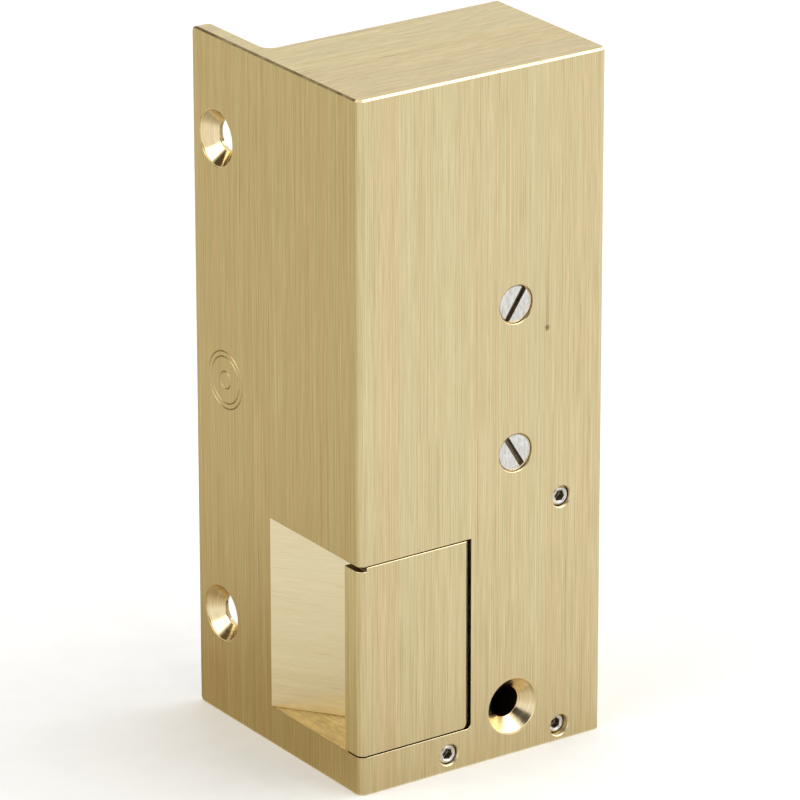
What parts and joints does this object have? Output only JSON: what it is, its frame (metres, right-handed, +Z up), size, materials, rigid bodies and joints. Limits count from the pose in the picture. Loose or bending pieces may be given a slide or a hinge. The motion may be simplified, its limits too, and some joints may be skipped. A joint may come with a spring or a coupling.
{
  "type": "electric door strike",
  "caption": "Surface-mounted brass electric door strike: a milled case with a flange and latch pocket, and a hinged keeper that an electromagnet's armature locks through a lever.",
  "frame": {"origin": "centre of the body's back face, the face that sits on the face of the door frame", "axes": "+Z up along the strike's height, +Y out of the back face into the door frame, +X away from the side where the latch enters"},
  "size_m": [0.0426, 0.042, 0.105],
  "materials": {
    "brass": "satin, brushed along the height",
    "nickel": "bright nickel plate",
    "dark_steel": "blackened",
    "zinc_steel": "zinc plate",
    "soft_iron": "dull nickel flash",
    "bobbin_plastic": "moulded",
    "copper": "enamelled copper wire",
    "terminal_plastic": "moulded",
    "rubber": "moulded",
    "lead_covering": "extruded"
  },
  "bodies": {
    "case": {"case": "brass", "keeper_pin": "zinc_steel", "keeper_pin_set_screw": "nickel", "lever_pin": "zinc_steel", "lever_spring": "zinc_steel", "lever_pin_lower_set_screw": "nickel", "lever_pin_upper_set_screw": "nickel", "magnet_yoke": "soft_iron", "magnet_core": "soft_iron", "coil_bobbin": "bobbin_plastic", "coil_winding": "copper", "magnet_screw_lower": "nickel", "magnet_screw_upper": "nickel", "armature_pin": "zinc_steel", "armature_spring": "zinc_steel", "terminal_block": "terminal_plastic", "terminal_clamp_1": "brass", "terminal_clamp_2": "brass", "terminal_screw_1": "zinc_steel", "terminal_screw_2": "zinc_steel", "terminal_block_screw": "zinc_steel", "coil_lead_1": "lead_covering", "coil_lead_2": "lead_covering", "back_plate": "zinc_steel", "back_plate_screw_1": "dark_steel", "back_plate_screw_2": "dark_steel", "back_plate_screw_3": "dark_steel", "back_plate_screw_4": "dark_steel", "cable_grommet": "rubber"},
    "keeper": {"keeper": "brass", "keeper_spring": "zinc_steel"},
    "lever": {"locking_lever": "zinc_steel"},
    "armature": {"armature": "soft_iron"}
  },
  "joints": [
    {"name": "keeper_swing", "type": "hinge", "parent": "case", "child": "keeper", "pos_m": [-0.0059, -0.0228, -0.0318], "axis": [0, 0, 1], "range_deg": [0, 75], "stiffness_Nm_per_rad": 0.01, "springref_deg": -22.92, "deforming": ["keeper_spring"]},
    {"name": "lever_swing", "type": "hinge", "parent": "case", "child": "lever", "pos_m": [0.0138, -0.0188, -0.02875], "axis": [0, 0, 1], "range_deg": [-4.5, 0]},
    {"name": "armature_tilt", "type": "hinge", "parent": "case", "child": "armature", "pos_m": [0.0057, -0.0098, 0.0205], "axis": [1, 0, 0], "range_deg": [0, 1.8]}
  ],
  "couplings": [
    {"joint": "lever_swing", "follows": "keeper_swing", "ratio": -0.06},
    {"joint": "armature_tilt", "follows": "keeper_swing", "ratio": 0.024}
  ]
}
